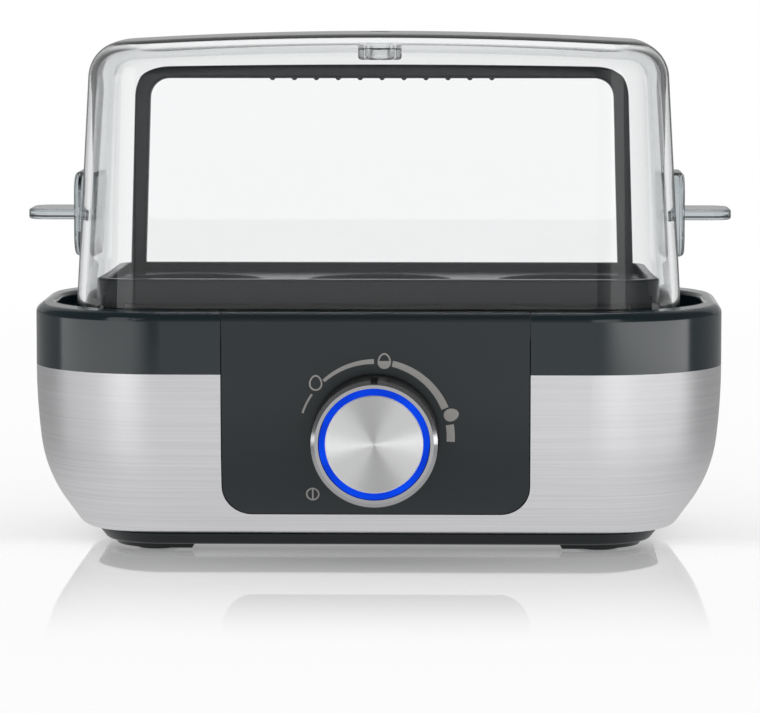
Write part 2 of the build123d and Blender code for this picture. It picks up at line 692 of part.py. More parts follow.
# Carrying arch: two splayed legs and a bar with grip nubs, tenoned into the tray
with BuildPart() as tray_handle:
    with BuildSketch(facing(half_d + arch_y - arch_d / 2, z=plate_z)) as arch:
        top = arch_top_z - plate_z
        with BuildLine():
            Polyline((-arch_half_foot, 0), (-arch_half_top, top), (arch_half_top, top), (arch_half_foot, 0),
                     close=True)
        make_face()
        fillet(arch.vertices().group_by(Axis.Y)[-1], arch_r)
        with BuildSketch(mode=Mode.SUBTRACT) as hollow:
            with BuildLine():
                Polyline((arch_leg - arch_half_foot, 0), (arch_leg - arch_half_top, top - arch_bar),
                         (arch_half_top - arch_leg, top - arch_bar), (arch_half_foot - arch_leg, 0),
                         close=True)
            make_face()
            fillet(hollow.vertices().group_by(Axis.Y)[-1], arch_r - arch_bar)
    extrude(amount=-arch_d)
    arch_edges = tray_handle.faces().filter_by(Axis.Y).edges()
    fillet(arch_edges.filter_by_position(Axis.Z, plate_z + arch_round, arch_top_z), arch_round)
    with BuildSketch(facing(half_d + arch_y - arch_d / 2 + arch_round, z=plate_z)):
        with Locations((0, top - arch_bar + nub_sink)):
            with GridLocations(nub_pitch, 0, nub_count, 1):
                Circle(nub_r)
    extrude(amount=2 * arch_round - arch_d)
    with BuildSketch(level(plate_z)):
        with Locations((-tenon_x, arch_y), (tenon_x, arch_y)):
            Rectangle(tenon_w, tenon_d)
    extrude(amount=-tenon_h)


# Lid: a drafted, crowned and rounded cover with a steam vent through a boss
def lid_form(inset):
    with BuildPart() as form:
        with BuildSketch(level(ledge_z)):
            RectangleRounded(2 * (lid_half_w - inset), 2 * (lid_half_d - inset), lid_r - inset)
        extrude(amount=lid_top_z - ledge_z + lid_round, taper=lid_draft)
        with Locations((0, mid_y, lid_top_z - inset - lid_crown_r)):
            Sphere(lid_crown_r, rotation=(90, 0, 0), mode=Mode.INTERSECT)
        fillet(form.faces().sort_by(Axis.Z)[-1].edges(), lid_round - inset)
    return form.part


lid_outer = lid_form(0)
with BuildPart() as lid:
    add(lid_outer)
    add(lid_form(lid_wall), mode=Mode.SUBTRACT)
    with BuildSketch(level(lid_top_z - lid_wall / 2)):
        Circle(vent_boss_r)
    extrude(amount=-lid_wall / 2 - vent_boss_h)
    with BuildSketch(level(lid_top_z)):
        Circle(vent_r)
    extrude(amount=-lid_wall - vent_boss_h, mode=Mode.SUBTRACT)


def lid_handle(side):
    plate_x = lid_half_w + handle_plate - (handle_z - ledge_z) * tan(radians(lid_draft))
    tab_half_d = handle_half_d - handle_tab_in
    with BuildPart() as handle:
        with BuildSketch(Plane((side * plate_x, mid_y, handle_z), x_dir=(0, 1, 0), z_dir=(-side, 0, 0))):
            RectangleRounded(2 * handle_half_d, 2 * handle_half_h, handle_half_h / 2)
        extrude(amount=2 * handle_plate)
        fillet(handle.edges().group_by(Axis.X)[-1 if side > 0 else 0], handle_plate / 2)
        with BuildSketch(level(handle_z - handle_tab / 2)) as tab:
            with Locations((side * (handle_tip_x + lid_half_w - lid_wall) / 2, 0)):
                Rectangle(handle_tip_x - lid_half_w + lid_wall, 2 * tab_half_d)
            fillet(tab.vertices().group_by(Axis.X)[-1 if side > 0 else 0], tab_half_d / 2)
        extrude(amount=handle_tab)
        fillet(handle.edges().filter_by(Plane.XY).filter_by_position(
            Axis.X, *sorted((side * (plate_x + handle_tab), side * handle_tip_x))), handle_tab / 4)
        add(lid_outer, mode=Mode.SUBTRACT)
    return handle


lid_handle_left = lid_handle(-1)
lid_handle_right = lid_handle(1)

pieces = {
    "steel_shell": steel_shell, "collar": collar, "front_panel": front_panel, "base_pan": base_pan,
    "rubber_feet": rubber_feet, "base_screws": base_screws, "heating_bowl": heating_bowl,
    "bowl_seal": bowl_seal, "heating_element": heating_element, "heat_shield": heat_shield,
    "shield_nuts": shield_nuts, "thermostat": thermostat, "thermal_fuse": thermal_fuse,
    "control_board": control_board, "led_lights": led_lights, "power_relay": power_relay,
    "capacitor": capacitor, "buzzer": buzzer, "board_screws": board_screws, "panel_screws": panel_screws,
    "potentiometer": potentiometer, "potentiometer_nut": potentiometer_nut, "cord_gland": cord_gland,
    "terminal_block": terminal_block, "heater_leads": heater_leads, "knob_skirt": knob_skirt,
    "knob_bezel": knob_bezel, "knob_light_ring": knob_light_ring, "knob_cap": knob_cap,
    "potentiometer_shaft": potentiometer_shaft, "egg_tray": egg_tray, "tray_handle": tray_handle,
    "lid": lid, "lid_handle_left": lid_handle_left, "lid_handle_right": lid_handle_right,
}
os.makedirs("parts", exist_ok=True)
for name, piece in pieces.items():
    piece.part.label = name
    export_step(piece.part, f"parts/{name}.step")
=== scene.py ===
import bpy
import bmesh
import math
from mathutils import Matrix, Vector
from mathutils.bvhtree import BVHTree


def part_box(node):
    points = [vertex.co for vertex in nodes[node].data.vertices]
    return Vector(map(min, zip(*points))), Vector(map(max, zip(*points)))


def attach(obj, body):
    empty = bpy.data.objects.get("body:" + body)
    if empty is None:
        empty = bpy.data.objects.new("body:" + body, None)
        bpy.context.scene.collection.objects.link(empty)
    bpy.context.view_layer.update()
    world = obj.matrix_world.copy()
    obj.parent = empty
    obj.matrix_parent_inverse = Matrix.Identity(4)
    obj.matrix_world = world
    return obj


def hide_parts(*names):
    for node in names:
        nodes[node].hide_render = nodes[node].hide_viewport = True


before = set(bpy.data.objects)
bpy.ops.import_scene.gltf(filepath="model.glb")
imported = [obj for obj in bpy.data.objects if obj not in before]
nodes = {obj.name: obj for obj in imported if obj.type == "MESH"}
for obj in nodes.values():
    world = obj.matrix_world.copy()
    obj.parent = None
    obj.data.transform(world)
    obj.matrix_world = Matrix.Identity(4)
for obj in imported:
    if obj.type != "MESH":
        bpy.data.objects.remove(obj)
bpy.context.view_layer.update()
mm = 0.001
print("frame loaded:", len(nodes), "nodes")

# helpers for node trees


def feed(tree, socket, value):
    # a plain value is set on the socket, and another node's output is linked to it
    if isinstance(value, (int, float, tuple)):
        socket.default_value = value
    else:
        tree.links.new(value, socket)


def mathNode(tree, operation, first, second=None, kind="ShaderNodeMath"):
    node = tree.nodes.new(kind)
    node.operation = operation
    feed(tree, node.inputs[0], first)
    if second is not None:
        feed(tree, node.inputs[1], second)
    return node.outputs


def number(tree, operation, first, second=None):
    return mathNode(tree, operation, first, second)["Value"]


def vector(tree, operation, first, second=None):
    return mathNode(tree, operation, first, second, "ShaderNodeVectorMath")["Vector"]


def vectorLength(tree, first):
    return mathNode(tree, "LENGTH", first, None, "ShaderNodeVectorMath")["Value"]


def noise(tree, place, scale, detail):
    node = tree.nodes.new("ShaderNodeTexNoise")
    feed(tree, node.inputs["Vector"], place)
    feed(tree, node.inputs["Scale"], scale)
    feed(tree, node.inputs["Detail"], detail)
    return node.outputs["Fac"]


def objectPlace(tree):
    return tree.nodes.new("ShaderNodeTexCoord").outputs["Object"]


def splitPlace(tree, place):
    split = tree.nodes.new("ShaderNodeSeparateXYZ")
    tree.links.new(place, split.inputs["Vector"])
    return split.outputs


def smoothRange(tree, value, limits):
    node = tree.nodes.new("ShaderNodeMapRange")
    node.interpolation_type = "SMOOTHSTEP"
    node.inputs["From Min"].default_value, node.inputs["From Max"].default_value = limits
    tree.links.new(value, node.inputs["Value"])
    return node.outputs["Result"]


def mixColours(tree, mask, dark, light):
    mix = tree.nodes.new("ShaderNodeMix")
    mix.data_type = "RGBA"
    tree.links.new(mask, mix.inputs["Factor"])
    mix.inputs["A"].default_value = (*dark, 1)
    mix.inputs["B"].default_value = (*light, 1)
    return mix.outputs["Result"]


def mixShaders(tree, factor, first, second):
    mix = tree.nodes.new("ShaderNodeMixShader")
    for socket, source in zip(mix.inputs, (factor, first, second)):
        tree.links.new(source, socket)
    return mix.outputs[0]


# shader node groups that the finishes share


def newGroup(name, inputs, outputs):
    group = bpy.data.node_groups.new(name, "ShaderNodeTree")
    for label, value in inputs.items():
        kind = "NodeSocketVector" if isinstance(value, tuple) else "NodeSocketFloat"
        socket = group.interface.new_socket(label, in_out="INPUT", socket_type=kind)
        socket.default_value = value
    for label in outputs:
        group.interface.new_socket(label, in_out="OUTPUT", socket_type="NodeSocketFloat")
    start = group.nodes.new("NodeGroupInput")
    end = group.nodes.new("NodeGroupOutput")
    return group, start.outputs, end.inputs


def placeGroup(tree, group, values):
    node = tree.nodes.new("ShaderNodeGroup")
    node.node_tree = group
    for label, value in values.items():
        node.inputs[label].default_value = value
    return node.outputs


grainLook = {"cells": 3000.0, "drift": 18.0, "roughness": 0.4, "swing": 0.08, "cellDetail": 3,
             "driftDetail": 4}


def makeMouldGrain():
    # fine moulded texture: a height for bump, and a slow drift for roughness and tone
    group, start, end = newGroup(
        "mouldGrain",
        {"Cells per metre": grainLook["cells"], "Drift per metre": grainLook["drift"],
         "Roughness": grainLook["roughness"], "Roughness drift": grainLook["swing"]},
        ("Height", "Roughness", "Tone"))
    place = objectPlace(group)
    grain = noise(group, place, start["Cells per metre"], grainLook["cellDetail"])
    drift = noise(group, place, start["Drift per metre"], grainLook["driftDetail"])
    centred = number(group, "SUBTRACT", drift, 0.5)
    swing = number(group, "MULTIPLY", centred, start["Roughness drift"])
    group.links.new(grain, end["Height"])
    group.links.new(number(group, "ADD", swing, start["Roughness"]), end["Roughness"])
    group.links.new(drift, end["Tone"])
    return group


brushLook = {"fine": 3400.0, "coarse": 1100.0, "length": 16.0, "fineShare": 0.7, "detail": 4}


def makeBrushLines():
    # long fine scratches that run level round an upright wall
    group, start, end = newGroup(
        "brushLines",
        {"Fine per metre": brushLook["fine"], "Coarse per metre": brushLook["coarse"],
         "Length per metre": brushLook["length"]},
        ("Lines",))
    place = objectPlace(group)
    shares = {"Fine per metre": brushLook["fineShare"], "Coarse per metre": 1 - brushLook["fineShare"]}
    lines = []
    for label, share in shares.items():
        stretch = group.nodes.new("ShaderNodeCombineXYZ")
        for axis in "XY":
            group.links.new(start["Length per metre"], stretch.inputs[axis])
        group.links.new(start[label], stretch.inputs["Z"])
        stretched = vector(group, "MULTIPLY", place, stretch.outputs["Vector"])
        lines.append(number(group, "MULTIPLY", noise(group, stretched, 1, brushLook["detail"]), share))
    group.links.new(number(group, "ADD", *lines), end["Lines"])
    return group


ringLook = {"rings": 3200.0, "detail": 2}


def makeTurnRings():
    # turning marks: rings about an axis along Y through a given centre
    group, start, end = newGroup(
        "turnRings", {"Centre": (0.0, 0.0, 0.0), "Rings per metre": ringLook["rings"]}, ("Lines",))
    offset = vector(group, "SUBTRACT", objectPlace(group), start["Centre"])
    radius = vectorLength(group, vector(group, "MULTIPLY", offset, (1, 0, 1)))
    texture = group.nodes.new("ShaderNodeTexNoise")
    texture.noise_dimensions = "1D"
    feed(group, texture.inputs["W"], radius)
    feed(group, texture.inputs["Scale"], start["Rings per metre"])
    feed(group, texture.inputs["Detail"], ringLook["detail"])
    group.links.new(texture.outputs["Fac"], end["Lines"])
    return group


mouldGrain = makeMouldGrain()
brushLines = makeBrushLines()
turnRings = makeTurnRings()

# finishes


def newFinish(name):
    finish = bpy.data.materials.new(name)
    finish.use_nodes = True
    tree = finish.node_tree
    return finish, tree, tree.nodes["Principled BSDF"]


def addBump(tree, shader, height, depth):
    bump = tree.nodes.new("ShaderNodeBump")
    bump.inputs["Strength"].default_value = 1
    bump.inputs["Distance"].default_value = depth * mm
    tree.links.new(height, bump.inputs["Height"])
    tree.links.new(bump.outputs["Normal"], shader.inputs["Normal"])


def addStreaks(tree, shader, axis, amount):
    # metal whose marks run round an axis spreads its highlights across them
    shader.inputs["Metallic"].default_value = 1
    shader.inputs["Anisotropic"].default_value = amount
    shader.inputs["Anisotropic Rotation"].default_value = 0.25  # a quarter turn
    tangent = tree.nodes.new("ShaderNodeTangent")
    tangent.direction_type = "RADIAL"
    tangent.axis = axis
    tree.links.new(tangent.outputs["Tangent"], shader.inputs["Tangent"])


def mouldedPlastic(name, dark, light, roughness, grain, depth, shine=0.5):
    finish, tree, shader = newFinish(name)
    texture = placeGroup(tree, mouldGrain, {"Cells per metre": grain, "Roughness": roughness})
    tree.links.new(mixColours(tree, texture["Tone"], dark, light), shader.inputs["Base Color"])
    tree.links.new(texture["Roughness"], shader.inputs["Roughness"])
    shader.inputs["Specular IOR Level"].default_value = shine
    addBump(tree, shader, texture["Height"], depth)
    return finish


def plainMetal(name, dark, light, roughness, grain, depth):
    finish = mouldedPlastic(name, dark, light, roughness, grain, depth)
    finish.node_tree.nodes["Principled BSDF"].inputs["Metallic"].default_value = 1
    return finish


steelLook = {"dark": (0.62, 0.62, 0.63), "light": (0.97, 0.97, 0.99), "lines": (0.3, 0.7),
             "rough": (0.40, 0.52), "streak": 0.5, "depth": 0.005}


def brushedSteel(name):
    finish, tree, shader = newFinish(name)
    lines = placeGroup(tree, brushLines, {})["Lines"]
    spread = tree.nodes.new("ShaderNodeMapRange")
    spread.inputs["From Min"].default_value, spread.inputs["From Max"].default_value = steelLook["lines"]
    spread.inputs["To Min"].default_value, spread.inputs["To Max"].default_value = steelLook["rough"]
    tree.links.new(lines, spread.inputs["Value"])
    tree.links.new(spread.outputs["Result"], shader.inputs["Roughness"])
    colour = mixColours(tree, lines, steelLook["dark"], steelLook["light"])
    tree.links.new(colour, shader.inputs["Base Color"])
    addStreaks(tree, shader, "Z", steelLook["streak"])
    addBump(tree, shader, lines, steelLook["depth"])
    return finish


knobMid = (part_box("knob_cap")[0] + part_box("knob_cap")[1]) / 2


def turnedMetal(name, dark, light, roughness, streak, depth):
    finish, tree, shader = newFinish(name)
    lines = placeGroup(tree, turnRings, {"Centre": knobMid})["Lines"]
    tree.links.new(mixColours(tree, lines, dark, light), shader.inputs["Base Color"])
    shader.inputs["Roughness"].default_value = roughness
    addStreaks(tree, shader, "Y", streak)
    addBump(tree, shader, lines, depth)
    return finish


# the edge colour is painted shade that the clear plastic takes on towards its grazing edges
clearLook = {"tint": (0.995, 0.997, 0.998), "ior": 1.49, "roughness": 0.012, "swing": 0.015,
             "depthTint": (0.34, 0.41, 0.44), "paintedEdgeShade": (0.25, 0.29, 0.31), "edgePower": 2.7}


def clearPlastic(name, density):
    # painted shade at its grazing edges, standing in for the dim studio sides mirrored there; tinted in
    # depth, and clear to shadow rays
    finish, tree, shader = newFinish(name)
    texture = placeGroup(tree, mouldGrain, {"Roughness": clearLook["roughness"],
                                            "Roughness drift": clearLook["swing"]})
    # painted shade: the base colour turns grey towards grazing edges, in place of dark reflections
    facing = tree.nodes.new("ShaderNodeLayerWeight").outputs["Facing"]
    edge = number(tree, "POWER", facing, clearLook["edgePower"])
    colour = mixColours(tree, edge, clearLook["tint"], clearLook["paintedEdgeShade"])
    tree.links.new(colour, shader.inputs["Base Color"])
    shader.inputs["Transmission Weight"].default_value = 1
    shader.inputs["IOR"].default_value = clearLook["ior"]
    tree.links.new(texture["Roughness"], shader.inputs["Roughness"])
    through = tree.nodes.new("ShaderNodeBsdfTransparent")
    through.inputs["Color"].default_value = (*clearLook["tint"], 1)
    shadow = tree.nodes.new("ShaderNodeLightPath").outputs["Is Shadow Ray"]
    depth = tree.nodes.new("ShaderNodeVolumeAbsorption")
    depth.inputs["Color"].default_value = (*clearLook["depthTint"], 1)
    depth.inputs["Density"].default_value = density
    end = tree.nodes["Material Output"]
    tree.links.new(mixShaders(tree, shadow, shader.outputs[0], through.outputs[0]), end.inputs["Surface"])
    tree.links.new(depth.outputs[0], end.inputs["Volume"])
    return finish


lightLook = {"dim": (0.0, 0.008, 0.30), "bright": (0.0, 0.08, 1.0), "unlit": (0.0, 0.01, 0.12),
             "strength": 1.0, "shine": 0.05, "drift": 120.0, "roughness": 0.35}


def litRing(name):
    finish, tree, shader = newFinish(name)
    texture = placeGroup(tree, mouldGrain, {"Drift per metre": lightLook["drift"],
                                            "Roughness": lightLook["roughness"]})
    shader.inputs["Base Color"].default_value = (*lightLook["unlit"], 1)
    shader.inputs["Specular IOR Level"].default_value = lightLook["shine"]
    glow = mixColours(tree, texture["Tone"], lightLook["dim"], lightLook["bright"])
    tree.links.new(glow, shader.inputs["Emission Color"])
    shader.inputs["Emission Strength"].default_value = lightLook["strength"]
    tree.links.new(texture["Roughness"], shader.inputs["Roughness"])
    return finish


# dark tone, light tone, roughness, grains per metre, their depth in mm, and a lesser shine for some
mouldings = {
    "collarPlastic": ((0.0045, 0.0115, 0.0145), (0.006, 0.014, 0.0175), 0.16, 2600, 0.002),
    "panelPlastic": ((0.0040, 0.0100, 0.0130), (0.0055, 0.0125, 0.0160), 0.30, 2600, 0.004),
    "basePlastic": ((0.0045, 0.0075, 0.0095), (0.006, 0.010, 0.0125), 0.36, 1900, 0.008, 0.25),
    "trayPlastic": ((0.004, 0.009, 0.012), (0.006, 0.012, 0.015), 0.26, 2400, 0.0006, 0.25),
    "skirtPlastic": ((0.006, 0.006, 0.007), (0.010, 0.010, 0.011), 0.30, 2600, 0.008),
    "padRubber": ((0.010, 0.010, 0.010), (0.018, 0.018, 0.018), 0.75, 1400, 0.05),
    "sealSilicone": ((0.40, 0.39, 0.37), (0.50, 0.49, 0.47), 0.6, 1200, 0.03),
    "bowlCoating": ((0.020, 0.020, 0.022), (0.045, 0.044, 0.043), 0.42, 900, 0.03),
    "boardMask": ((0.012, 0.10, 0.035), (0.02, 0.15, 0.05), 0.35, 700, 0.02),
    "relayCase": ((0.015, 0.022, 0.04), (0.022, 0.032, 0.055), 0.4, 1600, 0.02),
    "phenolic": ((0.06, 0.030, 0.014), (0.10, 0.05, 0.025), 0.55, 1500, 0.03),
    "terminalPlastic": ((0.55, 0.55, 0.50), (0.64, 0.64, 0.60), 0.5, 1500, 0.02),
    "leadSleeve": ((0.50, 0.47, 0.40), (0.66, 0.62, 0.55), 0.8, 2600, 0.08),
    "dialInk": ((0.30, 0.29, 0.275), (0.34, 0.33, 0.315), 0.55, 4200, 0.004),
}
plainMetals = {
    "zincPlate": ((0.52, 0.52, 0.50), (0.66, 0.66, 0.62), 0.35, 1800, 0.01),
    "rolledAluminium": ((0.62, 0.62, 0.62), (0.74, 0.74, 0.74), 0.38, 1800, 0.01),
    "tintedSheath": ((0.20, 0.18, 0.16), (0.36, 0.33, 0.30), 0.45, 1800, 0.01),
}
turnedMetals = {                                   # here a streak stands in place of the grains
    "spunCap": ((0.94, 0.95, 0.95), (1.0, 1.0, 1.0), 0.54, 0.97, 0.0015),
    "turnedBezel": ((0.36, 0.36, 0.37), (0.47, 0.47, 0.48), 0.22, 0.4, 0.003),
}
clearPlastics = {"clearPlastic": 14.0, "clearHandle": 45.0}  # density of the tint in depth
finishes = {"brushedSteel": brushedSteel("brushedSteel"), "litRing": litRing("litRing")}
for make, looks in ((mouldedPlastic, mouldings), (plainMetal, plainMetals), (turnedMetal, turnedMetals)):
    for name, look in looks.items():
        finishes[name] = make(name, *look)
for name, density in clearPlastics.items():
    finishes[name] = clearPlastic(name, density)

nodeFinish = {
    "brushedSteel": ["steel_shell"], "collarPlastic": ["collar"], "panelPlastic": ["front_panel"],
    "basePlastic": ["base_pan", "capacitor", "buzzer", "cord_gland"],
    "trayPlastic": ["egg_tray", "tray_handle"], "skirtPlastic": ["knob_skirt"], "padRubber": ["rubber_feet"],
    "sealSilicone": ["bowl_seal"], "bowlCoating": ["heating_bowl"], "clearPlastic": ["lid"],
    "clearHandle": ["lid_handle_left", "lid_handle_right"], "spunCap": ["knob_cap"],
    "turnedBezel": ["knob_bezel"], "litRing": ["knob_light_ring", "led_lights"],
    "zincPlate": ["base_screws", "board_screws", "panel_screws", "shield_nuts", "potentiometer_nut",
                  "potentiometer_shaft"],
    "rolledAluminium": ["heat_shield"], "tintedSheath": ["heating_element"], "boardMask": ["control_board"],
    "relayCase": ["power_relay", "potentiometer"], "phenolic": ["thermostat", "thermal_fuse"],
    "terminalPlastic": ["terminal_block"], "leadSleeve": ["heater_leads"],
}
for finish, members in nodeFinish.items():
    for name in members:
        nodes[name].data.materials.clear()
        nodes[name].data.materials.append(finishes[finish])
print("finishes made:", len(finishes))

# pieces that this script adds


def addPiece(name, mesh, finish):
    data = bpy.data.meshes.new(name)
    mesh.to_mesh(data)
    mesh.free()
    data.materials.append(finishes[finish])
    piece = bpy.data.objects.new(name, data)
    bpy.context.scene.collection.objects.link(piece)
    return piece


# dial marks printed on the panel, in polar places about the knob's axis, in millimetres and degrees

dial = {
    "radius": 20.1, "lift": 0.02, "ink": 0.05, "steps": 40, "merge": 0.001,
    "bands": [(-71.5, -55.5, 0.55, 0.55), (-42.0, -0.5, 0.85, 1.30), (13.5, 67.5, 1.60, 2.00),
              (80.5, 93.5, 2.15, 2.15)],           # from, to, width at each end
    "eggs": [(-47.2, 21.2, 3.5, 4.2, 0, 0.0), (7.2, 20.4, 3.5, 4.2, 0, 0.5),
             (73.5, 21.1, 3.4, 4.0, 74, 1.0)],     # angle, radius, width, height, tilt, filled share
    "blunt": 0.12, "stroke": 0.42, "offAt": (-16.55, -15.75), "offSize": 3.6, "offBar": 0.8,
    "shift": (-0.2, 0.3),                          # of the whole scale, from the knob's axis
    "castFrom": -200.0,                            # rays that lay the ink on the panel start here
}
dialZ = knobMid.z / mm + dial["shift"][1]
panelTree = BVHTree.FromObject(nodes["front_panel"], bpy.context.evaluated_depsgraph_get())


def panelDepth(x, z):
    hit = panelTree.ray_cast(Vector((x, dial["castFrom"], z)) * mm, Vector((0, 1, 0)))
    return hit[0].y / mm


def geoNode(tree, kind, values):
    node = tree.nodes.new(kind)
    for label, value in values.items():
        feed(tree, node.inputs[label], value)
    return node.outputs


def makeBandTree():
    # a strip bent along an arc about the knob's axis, then laid on the panel by ray cast
    tree = bpy.data.node_groups.new("dialBand", "GeometryNodeTree")
    sockets = {label: "NodeSocketFloat" for label in (
        "First angle", "Last angle", "First width", "Last width", "Radius", "Axis height", "Shift", "Lift")}
    sockets.update({"Steps": "NodeSocketInt", "Panel": "NodeSocketObject", "Ink": "NodeSocketMaterial"})
    for label, kind in sockets.items():
        tree.interface.new_socket(label, in_out="INPUT", socket_type=kind)
    tree.interface.new_socket("Geometry", in_out="OUTPUT", socket_type="NodeSocketGeometry")
    given = tree.nodes.new("NodeGroupInput").outputs
    grid = geoNode(tree, "GeometryNodeMeshGrid", {"Vertices X": given["Steps"], "Vertices Y": 2})
    place = tree.nodes.new("GeometryNodeInputPosition").outputs["Position"]
    split = splitPlace(tree, place)
    share = number(tree, "ADD", split["X"], 0.5)   # 0 at the strip's start, 1 at its end

    def between(first, last):
        swing = number(tree, "SUBTRACT", given[last], given[first])
        return number(tree, "ADD", given[first], number(tree, "MULTIPLY", swing, share))

    angle = number(tree, "RADIANS", between("First angle", "Last angle"))
    across = number(tree, "MULTIPLY", split["Y"], between("First width", "Last width"))
    reach = number(tree, "ADD", given["Radius"], across)
    aside = number(tree, "MULTIPLY", reach, number(tree, "SINE", angle))
    level = number(tree, "MULTIPLY", reach, number(tree, "COSINE", angle))
    arc = geoNode(tree, "ShaderNodeCombineXYZ", {
        "X": number(tree, "ADD", aside, given["Shift"]), "Y": dial["castFrom"] * mm,
        "Z": number(tree, "ADD", level, given["Axis height"])})
    bent = geoNode(tree, "GeometryNodeSetPosition", {"Geometry": grid["Mesh"], "Position": arc["Vector"]})
    panel = geoNode(tree, "GeometryNodeObjectInfo", {"Object": given["Panel"]})
    cast = geoNode(tree, "GeometryNodeRaycast", {
        "Target Geometry": panel["Geometry"], "Source Position": place, "Ray Direction": (0, 1, 0),
        "Ray Length": 1})
    raised = geoNode(tree, "ShaderNodeCombineXYZ", {"Y": number(tree, "MULTIPLY", given["Lift"], -1)})
    laid = geoNode(tree, "GeometryNodeSetPosition", {
        "Geometry": bent["Geometry"], "Position": cast["Hit Position"], "Offset": raised["Vector"]})
    whole = geoNode(tree, "GeometryNodeRealizeInstances", {"Geometry": laid["Geometry"]})
    inked = geoNode(tree, "GeometryNodeSetMaterial", {
        "Geometry": whole["Geometry"], "Material": given["Ink"]})
    end = tree.nodes.new("NodeGroupOutput")
    tree.links.new(inked["Geometry"], end.inputs["Geometry"])
    return tree


def bandMesh(tree, band):
    holder = bpy.data.objects.new("dialBand", bpy.data.meshes.new("dialBand"))
    bpy.context.scene.collection.objects.link(holder)
    modifier = holder.modifiers.new("band", "NODES")
    modifier.node_group = tree
    first, last, widthFirst, widthLast = band
    settings = {
        "First angle": first, "Last angle": last,
        "First width": widthFirst * mm, "Last width": widthLast * mm,
        "Radius": dial["radius"] * mm, "Axis height": dialZ * mm, "Shift": dial["shift"][0] * mm,
        "Lift": dial["lift"] * mm, "Steps": dial["steps"], "Panel": nodes["front_panel"],
        "Ink": finishes["dialInk"],
    }
    for item in tree.interface.items_tree:
        if item.item_type == "SOCKET" and item.in_out == "INPUT":
            modifier[item.identifier] = settings[item.name]
    settled = holder.evaluated_get(bpy.context.evaluated_depsgraph_get())
    mesh = bpy.data.meshes.new_from_object(settled)
    holder.modifiers.remove(modifier)
    bpy.data.objects.remove(holder)
    return mesh


def circle():
    turns = [2 * math.pi * step / dial["steps"] for step in range(dial["steps"])]
    return [(math.cos(turn), math.sin(turn)) for turn in turns]


def eggRow(width, tall, inset=0.0):
    # outline of a mark that is blunter below, drawn in by the inset
    halfWidth, halfTall = width / 2 - inset, tall / 2 - inset
    return [(halfWidth * across * (1 - dial["blunt"] * height), halfTall * height)
            for across, height in circle()]


def placed(row, angle, radius, tilt):
    angle, turn = math.radians(angle), math.radians(tilt)
    return [(radius * math.sin(angle) + x * math.cos(turn) + z * math.sin(turn),
             radius * math.cos(angle) - x * math.sin(turn) + z * math.cos(turn)) for x, z in row]


def flatVerts(mesh, row):
    return [mesh.verts.new((x, 0, z)) for x, z in row]


def ringFaces(mesh, outer, inner):
    outer, inner = flatVerts(mesh, outer), flatVerts(mesh, inner)
    for step in range(len(outer)):
        mesh.faces.new((outer[step - 1], outer[step], inner[step], inner[step - 1]))


def drawEggs(mesh):
    for angle, radius, width, tall, tilt, fill in dial["eggs"]:
        inner = eggRow(width, tall, dial["stroke"])
        ringFaces(mesh, placed(eggRow(width, tall), angle, radius, tilt), placed(inner, angle, radius, tilt))
        if fill > 0:
            level = (2 * fill - 1) * (tall / 2 - dial["stroke"])
            filled = [(x, min(z, level)) for x, z in inner]
            mesh.faces.new(flatVerts(mesh, placed(filled, angle, radius, tilt)))


def drawOff(mesh):
    # a circle with an upright bar
    offX, offZ = dial["offAt"]
    half = dial["offSize"] / 2
    ringFaces(mesh, *[[(offX + reach * x, offZ + reach * z) for x, z in circle()]
                      for reach in (half, half - dial["stroke"])])
    wide, tall = dial["stroke"] / 2, half * dial["offBar"]
    mesh.faces.new(flatVerts(mesh, [(offX + x * wide, offZ + z * tall)
                                    for x, z in ((-1, -1), (1, -1), (1, 1), (-1, 1))]))


def makeDialMarks():
    mesh = bmesh.new()
    drawEggs(mesh)
    drawOff(mesh)
    bmesh.ops.remove_doubles(mesh, verts=mesh.verts, dist=dial["merge"])
    bmesh.ops.triangulate(mesh, faces=[face for face in mesh.faces if len(face.verts) > 4])
    for vert in mesh.verts:
        x, z = vert.co.x + dial["shift"][0], vert.co.z + dialZ
        vert.co = Vector((x, panelDepth(x, z) - dial["lift"], z)) * mm
    bandTree = makeBandTree()
    for band in dial["bands"]:
        mesh.from_mesh(bandMesh(bandTree, band))
    mesh.normal_update()
    for face in mesh.faces:
        if face.normal.y > 0:
            face.normal_flip()
    marks = addPiece("dialMarks", mesh, "dialInk")
    wall = marks.modifiers.new("ink", "SOLIDIFY")
    wall.thickness = dial["ink"] * mm
    wall.offset = 1
    return marks


dialMarks = makeDialMarks()
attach(dialMarks, "base")
print("dial marks printed")

# clear lid: rings of one rounded outline, out over the top, through the vent and back inside, in millimetres

lidLook = {
    "corner": 20.0, "draft": 3.2, "round": 10.0, "crown": 1150.0, "wall": 2.2, "footRound": 0.5,
    "vent": 3.0, "boss": 6.0, "bossDrop": 4.8, "bossRound": 1.2, "sharpAngle": 40,
    "cornerSteps": 22, "longSteps": 26, "shortSteps": 12, "wallSteps": 14, "roundSteps": 16,
    "crownSteps": 18, "bossSteps": 4, "settleSteps": 8, "firstRise": 0.7,
}
lidLow, lidHigh = [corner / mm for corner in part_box("lid")]
lidMid = (lidLow + lidHigh) / 2
lidSlope = math.radians(lidLook["draft"])


def lidOutline():
    # points of the foot's outer edge, each with its outward direction
    halfW, halfD, corner = lidHigh.x - lidMid.x, lidHigh.y - lidMid.y, lidLook["corner"]
    row = []
    for quarter, (signX, signY) in enumerate(((1, 1), (-1, 1), (-1, -1), (1, -1))):
        middle = Vector((signX * (halfW - corner), signY * (halfD - corner)))
        for step in range(lidLook["cornerSteps"] + 1):
            turn = math.pi / 2 * (quarter + step / lidLook["cornerSteps"])
            out = Vector((math.cos(turn), math.sin(turn)))
            row.append((middle + corner * out, out))
        half, run = (halfW, lidLook["longSteps"]) if quarter % 2 == 0 else (halfD, lidLook["shortSteps"])
        start, out = row[-1]
        along = Vector((-out.y, out.x)) * 2 * (half - corner)
        row += [(start + along * step / run, out) for step in range(1, run)]
    return row


